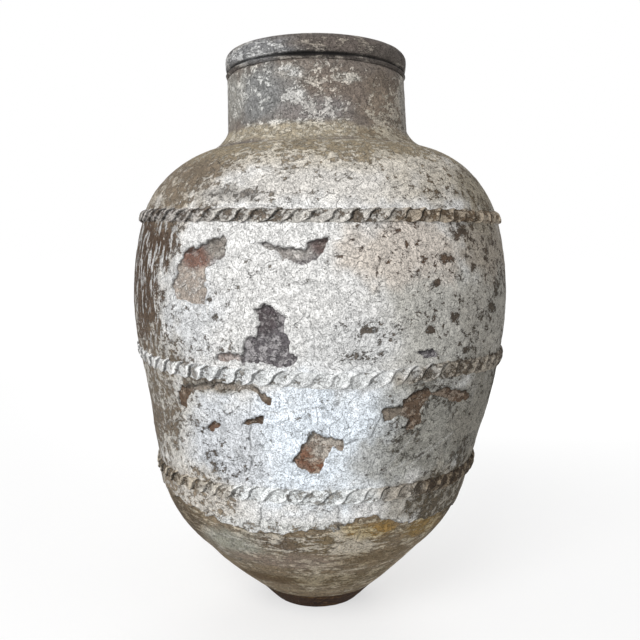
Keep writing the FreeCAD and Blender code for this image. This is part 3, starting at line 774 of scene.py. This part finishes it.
def lay_rope(name, zones, filled, drops):
    """Rolls a rope, thumbs it and lays it on its seam, with its drops in millimetres by degree of turn."""
    corners = points_of(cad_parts[name].data)
    behind = (corners[:, 1] > 0) & (abs(corners[:, 0]) < BEHIND_SLOPE * corners[:, 1])
    half_width = np.ptp(corners[behind, 2]) / 2
    left, right = corners[corners[:, 0].argmin()], corners[corners[:, 0].argmax()]
    seam = seam_below[SEAM_OF[name]]
    levels = np.linspace(-1, 1, ROPE_ROWS)
    seat = clay_radius(seam + levels * half_width) + ROPE_SEAT
    front = np.column_stack((seat, levels * half_width))
    band = turned(
        f"{name}_band", np.vstack((front, front[[-1, 0]] - (ROPE_BACK, 0))), rope_finish,
        columns=TWISTS[name] * COLUMNS_PER_TWIST)
    lime = lime_filled(places_of(points_of(band.data)), *filled)
    field = band.data.attributes.new("filled", "FLOAT", "POINT")
    field.data.foreach_set("value", lime.astype(np.float32))
    stand = np.hypot(corners[:, 0], corners[:, 1]).max() - clay_radius(seam)
    piece = run_tree(f"{name}_clay", twisting, band.data, {
        "Twists": TWISTS[name], "Half width": half_width, "Stand": stand - ROPE_SEAT,
        "Tilt": math.atan2(left[2] - right[2], right[0] - left[0]), "Height": seam,
        "Finish": rope_finish})
    bpy.data.objects.remove(band)
    mesh = piece.data
    crest, lee = np.empty((2, len(mesh.vertices)), np.float32)
    mesh.attributes["crest"].data.foreach_get("value", crest)
    mesh.attributes["lee"].data.foreach_get("value", lee)
    true = points_of(mesh)
    up = true[:, 2]
    turn = np.degrees(np.arctan2(true[:, 0], -true[:, 1]))
    drop = np.interp(turn, *zip(*drops)) * MM
    points = out_of_true(true)
    rise = uneven(points / MM, ROPE_DENTS) * MM + clay_radius(up - drop) - clay_radius(up)
    points[:, 2] += uneven(points / MM, ROPE_WANDER) * MM - drop
    move_points(mesh, points + outward(true) * rise[:, None])
    upper, under, wear = layered(places_of(points), zones)
    # Painted shade on the lee side of each twist, where its ridge would shadow it; the hollows are painted
    # darker and the crests lighter.
    hollow = eased(crest, *HOLLOW_EDGE)
    light = 1 - HOLLOW_SHADE * hollow + CREST_LIGHT * eased(crest, *CREST_EDGE)
    shade = (light * (1 - LEE_SHADE * lee))[:, None]
    wear += HOLLOW_WEAR * (hollow - 0.5)
    keep_weather(mesh, upper * shade, under * shade, wear, np.zeros(len(points)))
    finish_piece(piece, "rope_clay", name)


LOWER_ROPE_ZONES = (
    Zone((243, 246, 246), (175, 172, 166), 0.28, *EVERYWHERE),
    Zone((200, 189, 172), (124, 110, 92), 0.46, (-265, 284), (125, 60), ALL_ROUND),
    Zone((176, 169, 158), (116, 107, 95), 0.36, (160, 290), (90, 60), ALL_ROUND),
    Zone((138, 124, 105), (80, 67, 53), 0.46, (262, 290), (120, 60), ALL_ROUND),
)
MIDDLE_ROPE_ZONES = (
    Zone((236, 238, 238), (170, 166, 158), 0.3, *EVERYWHERE),
    Zone((244, 243, 241), (180, 174, 167), 0.3, (-310, 478), (110, 60), ALL_ROUND),
    Zone((172, 163, 149), (104, 93, 80), 0.42, (270, 478), (150, 60), ALL_ROUND),
)
UPPER_ROPE_ZONES = (
    Zone((208, 204, 197), (126, 115, 103), 0.36, *EVERYWHERE),
    Zone((196, 190, 184), (112, 102, 93), 0.46, (-300, 713), (150, 60), ALL_ROUND),
    Zone((182, 168, 149), (110, 94, 76), 0.42, (260, 713), (160, 60), ALL_ROUND),
)
LOWER_DROPS = (
    (-180, 0), (-90, 11), (-60, 13), (-45, 13), (-35, 11), (-20, 5),
    (0, 7), (20, 9), (45, 11), (90, 8), (180, 0))
MIDDLE_DROPS = (
    (-180, 0), (-90, 1), (-75, 8), (-60, 12), (-40, 13), (0, 13),
    (13, 12), (20, 9), (30, 4), (40, 2), (90, 3), (180, 0))
UPPER_DROPS = ((-180, 0), (-90, 0), (-40, 3), (-13, 6), (0, 7), (13, 6), (40, 3), (90, 0), (180, 0))
LOWER_FILLED = (-30, 110, 0.22)
MIDDLE_FILLED = (10, 70, 0.4)
lay_rope("lower_rope", LOWER_ROPE_ZONES, LOWER_FILLED, LOWER_DROPS)
lay_rope("middle_rope", MIDDLE_ROPE_ZONES, MIDDLE_FILLED, MIDDLE_DROPS)
lay_rope("upper_rope", UPPER_ROPE_ZONES, NOT_FILLED, UPPER_DROPS)

# Limewash: a thick coat of slaked lime brushed over the belly and shoulder in many layers.
# It stands off the clay by its own thickness and has flaked away in ragged patches.
LIME_ZONES = (
    Zone((226, 225, 223), (128, 121, 112), 0.15, *EVERYWHERE),
    Zone((235, 243, 251), (142, 140, 137), 0.15, (0, 370), (160, 110)),
    Zone((193, 191, 184), (90, 80, 70), 0.25, (180, 560), (100, 150)),
    Zone((176, 172, 163), (88, 80, 69), 0.33, (290, 580), (75, 180), ALL_ROUND),
    Zone((210, 201, 191), (100, 82, 68), 0.25, (130, 655), (110, 55)),
    Zone((171, 162, 149), (90, 78, 66), 0.3, (275, 670), (80, 60), ALL_ROUND),
    Zone((215, 216, 217), (108, 101, 95), 0.27, (-215, 570), (70, 90)),
    Zone((206, 201, 193), (111, 95, 80), 0.47, (-312, 600), (76, 190), ALL_ROUND),
    Zone((200, 194, 185), (94, 76, 61), 0.7, (-304, 668), (86, 62)),
    Zone((200, 194, 185), (96, 78, 63), 0.66, (-318, 590), (70, 80)),
    Zone((200, 194, 185), (98, 81, 66), 0.62, (-326, 512), (60, 56)),
    Zone((204, 199, 190), (130, 117, 101), 0.5, (-270, 390), (88, 130), ALL_ROUND),
    Zone((215, 218, 222), (106, 99, 92), 0.3, (-150, 350), (80, 80)),
    Zone((188, 189, 187), (112, 106, 97), 0.24, (95, 335), (66, 46)),
    Zone((156, 154, 146), (94, 88, 79), 0.32, (188, 368), (102, 110)),
    Zone((146, 142, 132), (84, 77, 66), 0.35, (280, 350), (65, 120), ALL_ROUND),
    Zone((216, 210, 201), (156, 142, 123), 0.46, (-225, 252), (100, 62), ALL_ROUND),
    Zone((226, 226, 223), (158, 147, 131), 0.38, (-10, 222), (170, 12)),
    Zone((170, 163, 150), (106, 96, 80), 0.47, (215, 245), (120, 60), ALL_ROUND),
    Zone((204, 196, 182), (110, 95, 76), 0.31, (150, 775), (130, 50)),
    Zone((164, 155, 138), (108, 95, 76), 0.34, (270, 760), (60, 70), ALL_ROUND),
    Zone((217, 213, 207), (150, 140, 126), 0.2, (-10, 762), (150, 36)),
    Zone((217, 210, 198), (164, 151, 132), 0.3, (10, 797), (230, 24), ALL_ROUND),
    Zone((193, 183, 168), (141, 127, 109), 0.54, (-235, 775), (110, 75), ALL_ROUND),
    Zone((212, 203, 186), (170, 156, 132), 0.5, (0, 826), (400, 33), ALL_ROUND),
    Zone((172, 166, 156), (120, 110, 98), 0.5, (-150, 455), (80, 16)),
    Zone((182, 178, 172), (140, 134, 127), 0.4, (-140, 741), (56, 14)),
    Zone((220, 220, 219), (108, 100, 92), 0.3, (45, 522), (80, 44)),
    Zone((212, 210, 205), (126, 116, 104), 0.26, (120, 600), (160, 140), BACK),
    Zone((202, 199, 192), (124, 114, 101), 0.3, (-100, 380), (150, 110), BACK),
)
STREAKS = 0.45
STREAKED = ((-280, 610), (100, 120))
SPOTS = (
    (193, 644, 14, 7), (145, 624, 5, 5), (153, 637, 4, 4), (145, 666, 4, 4), (175, 607, 6, 5),
    (280, 563, 8, 9), (211, 683, 14, 8), (292, 593, 6, 14), (207, 554, 6, 5), (165, 536, 7, 5),
    (66, 497, 9, 4), (238, 628, 7, 6), (-164, 582, 4, 4), (-156, 555, 4, 4), (43, 765, 9, 6),
    (70, 540, 12, 5), (268, 648, 6, 8))
SPOT_WEAR = 0.25
SPOT_SPREAD = 1.2
CRACKS = (
    ((90, 404), (80, 380), (79, 374), (57, 372), (35, 363)),
    ((-42, 268), (-15, 266), (15, 264)),
    ((-92, 255), (-95, 226)),
    ((17, 260), (20, 220)),
    ((28, 260), (30, 225)),
    ((-104, 432), (-108, 316)),
    ((-172, 383), (-143, 357), (-116, 332)),
)
SCRATCHES = (
    ((88, 305), (150, 375)),
    ((104, 312), (179, 347)),
    ((136, 316), (215, 362)),
    ((66, 312), (119, 357)),
    ((38, 330), (79, 376)),
    ((-160, 385), (-119, 337)),
    ((-106, 408), (-3, 423)),
)
LINE_FADE = (2.2, 0.55)
LINE_WANDER = ((2.5, 15),)
LINE_BREAKS = ((1, 16),)
BREAK_FADE = (-0.7, 0.1)
CRACK_DEPTH = 0.7
CRACK_DIRT = 0.6
SCRATCH_DEPTH = 0.4
SCRATCH_LIME = 0.3
coat_finish = weathered("limewash", step=-0.5)
COAT_THICKNESS = 2 * MM
COAT_SINK = 4 * MM
COAT_LUMPS = ((0.5, 18), (0.35, 7))
FLAKE_DEPTH = 3.4
FLAKE_EDGE = (-1.2, 1.2)
CURL_RISE = 0.6
CURL_PLACE = -3
CURL_REACH = 2.5
# Painted shade on the coat's broken upper left edges: how far it reaches, which side it keeps to and how
# dark it is.
BROKEN_EDGE = (-2.0, 0.2)
BROKEN_SIDE = (0.5, -2.0)
PAINTED_EDGE_SHADE = 0.72


def lined(places, lines):
    """How much of a crack or scratch on the front lies at each place."""
    mark = np.zeros(len(places.up))
    wander = uneven(places.points, LINE_WANDER)
    for line in lines:
        away = abs(inside_by(places.across + wander, places.up + wander, line + line[-2:0:-1]))
        mark = np.maximum(mark, eased(away, *LINE_FADE))
    return mark * places.front * eased(uneven(places.points, LINE_BREAKS), *BREAK_FADE)


def coat(node, lift, low):
    """A coat of limewash over the outside of a lift, sunk into the clay where it has flaked off."""
    wall = measured_line(lift, seam_below[lift], seam_above[lift])
    wall = wall[wall[:, 1] >= low]
    outer = evenly(wall, SKIN_ROW) + (COAT_THICKNESS, 0)
    inner = evenly(wall, HIDDEN_ROW) - (COAT_SINK, 0)
    piece = turned(f"{lift}_coat", np.vstack((outer, inner[::-1])), coat_finish)
    mesh = piece.data
    true = points_of(mesh)
    points = out_of_true(true)
    places = places_of(points)
    outside = np.hypot(true[:, 0], true[:, 1]) > np.interp(true[:, 2], wall[:, 1], wall[:, 0])
    depth = lost(places)
    cracks = lined(places, CRACKS)
    scratches = lined(places, SCRATCHES)
    rise = CURL_RISE * np.exp(-((depth - CURL_PLACE) / CURL_REACH) ** 2)
    rise -= FLAKE_DEPTH * eased(depth, *FLAKE_EDGE) + CRACK_DEPTH * cracks + SCRATCH_DEPTH * scratches
    rise += uneven(places.points, COAT_LUMPS)
    move_points(mesh, points + outward(true) * (rise * outside)[:, None] * MM)
    upper, under, wear = layered(places, LIME_ZONES)
    for layer in (upper, under):
        layer += SCRATCH_LIME * scratches[:, None] * (LIME - layer)
    for across, up, half_across, half_up in SPOTS:
        half = (SPOT_SPREAD * half_across, SPOT_SPREAD * half_up)
        wear += SPOT_WEAR * cover(places, (across, up), half)
    # Painted shade on the broken slope of the coat along the upper left edges of its flakes; the cracks
    # are darkened by dirt.
    broken = eased(depth, *BROKEN_EDGE) * eased(lost(places, SHADOW_SHIFT), *BROKEN_SIDE)
    shade = ((1 - CRACK_DIRT * cracks) * (1 - PAINTED_EDGE_SHADE * broken))[:, None]
    keep_weather(mesh, upper * shade, under * shade, wear, STREAKS * cover(places, *STREAKED))
    finish_piece(piece, "limewash", node)


coat("lower_wall_limewash", "lower_wall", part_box("lower_wall_limewash")[0].z)
for coated_lift in ("lower_belly", "upper_belly", "shoulder"):
    coat(f"{coated_lift}_limewash", coated_lift, seam_below[coated_lift])

# Studio: a white floor that runs on into a white surround, a large soft lamp in front of the jar,
# a weaker one behind it and an even fill all round.
FLOOR_HALF = 30
FLOOR_CORNERS = ((-1, -1), (1, -1), (1, 1), (-1, 1))
FLOOR_PAINT = (0.95, 0.95, 0.95, 1)
WHITE = (1, 1, 1, 1)
FLOOR_GLOW = 1.03
GLOW_SHARES = (0.6, 1.0)
GLOW_DISTANCES = (0.8, 3.5)


def seen_directly(tree):
    """One for what is looked at, or mirrored, and nothing for the light that it sheds."""
    ray = add(tree, "ShaderNodeLightPath").outputs
    looked_at = maths(tree, "MAXIMUM", ray["Is Camera Ray"], ray["Is Glossy Ray"])
    return maths(tree, "MAXIMUM", looked_at, ray["Is Transmission Ray"])


floor_mesh = bpy.data.meshes.new("floor")
floor_mesh.from_pydata(
    [(x * FLOOR_HALF, y * FLOOR_HALF, 0) for x, y in FLOOR_CORNERS], [], [(0, 1, 2, 3)])
floor = bpy.data.objects.new("floor", floor_mesh)
bpy.context.scene.collection.objects.link(floor)
floor_finish = bpy.data.materials.new("white floor")
floor_finish.use_nodes = True
floor_tree = floor_finish.node_tree
floor_tree.nodes.clear()
floor_place = add(floor_tree, "ShaderNodeTexCoord").outputs["Object"]
from_jar = add(
    floor_tree, "ShaderNodeVectorMath", {0: floor_place}, operation="LENGTH").outputs["Value"]
glow_share = add(floor_tree, "ShaderNodeMapRange", {
    "Value": from_jar, "From Min": GLOW_DISTANCES[0], "From Max": GLOW_DISTANCES[1],
    "To Min": GLOW_SHARES[0], "To Max": GLOW_SHARES[1]}).outputs["Result"]
glow_share = maths(floor_tree, "MULTIPLY", seen_directly(floor_tree), glow_share)
paint = add(floor_tree, "ShaderNodeBsdfDiffuse", {"Color": FLOOR_PAINT})
glow = add(floor_tree, "ShaderNodeEmission", {"Color": WHITE, "Strength": FLOOR_GLOW})
floor_mix = add(floor_tree, "ShaderNodeMixShader", {
    0: glow_share, 1: paint.outputs[0], 2: glow.outputs[0]})
add(floor_tree, "ShaderNodeOutputMaterial", {"Surface": floor_mix.outputs[0]})
floor_mesh.materials.append(floor_finish)

world = bpy.data.worlds.new("white surround")
bpy.context.scene.world = world
world.use_nodes = True
sky_tree = world.node_tree
sky_tree.nodes.clear()
FILL = 0.45
fill = add(sky_tree, "ShaderNodeMapRange", {
    "Value": seen_directly(sky_tree), "To Min": FILL, "To Max": 1.0})
sky = add(sky_tree, "ShaderNodeBackground", {"Color": WHITE, "Strength": fill.outputs["Result"]})
add(sky_tree, "ShaderNodeOutputWorld", {"Surface": sky.outputs[0]})

LAMP_SIZE = 1.6
LAMP_TARGET = Vector((0, 0, 0.5))


def soft_lamp(name, place, watts):
    """A large square lamp that faces the middle of the jar."""
    light = bpy.data.lights.new(name, "AREA")
    light.shape = "SQUARE"
    light.size = LAMP_SIZE
    light.energy = watts
    lamp = bpy.data.objects.new(name, light)
    lamp.location = place
    lamp.rotation_euler = (LAMP_TARGET - lamp.location).to_track_quat("-Z", "Y").to_euler()
    bpy.context.scene.collection.objects.link(lamp)
    lamp.visible_camera = False


soft_lamp("front lamp", place=(-1.1, -2.6, 2.3), watts=78)
soft_lamp("back lamp", place=(0.3, 2.8, 1.1), watts=50)

SENSOR_WIDTH = 36
LENS = 43.48
CAMERA_PLACE = (0, -1.4474, 0.6635)
CAMERA_TILT = math.radians(84.45)
camera_data = bpy.data.cameras.new("camera")
camera_data.sensor_width = SENSOR_WIDTH
camera_data.lens = LENS
camera = bpy.data.objects.new("camera", camera_data)
camera.location = CAMERA_PLACE
camera.rotation_euler = (CAMERA_TILT, 0, 0)
bpy.context.scene.collection.objects.link(camera)
bpy.context.scene.camera = camera
bpy.context.scene.view_settings.view_transform = "Standard"
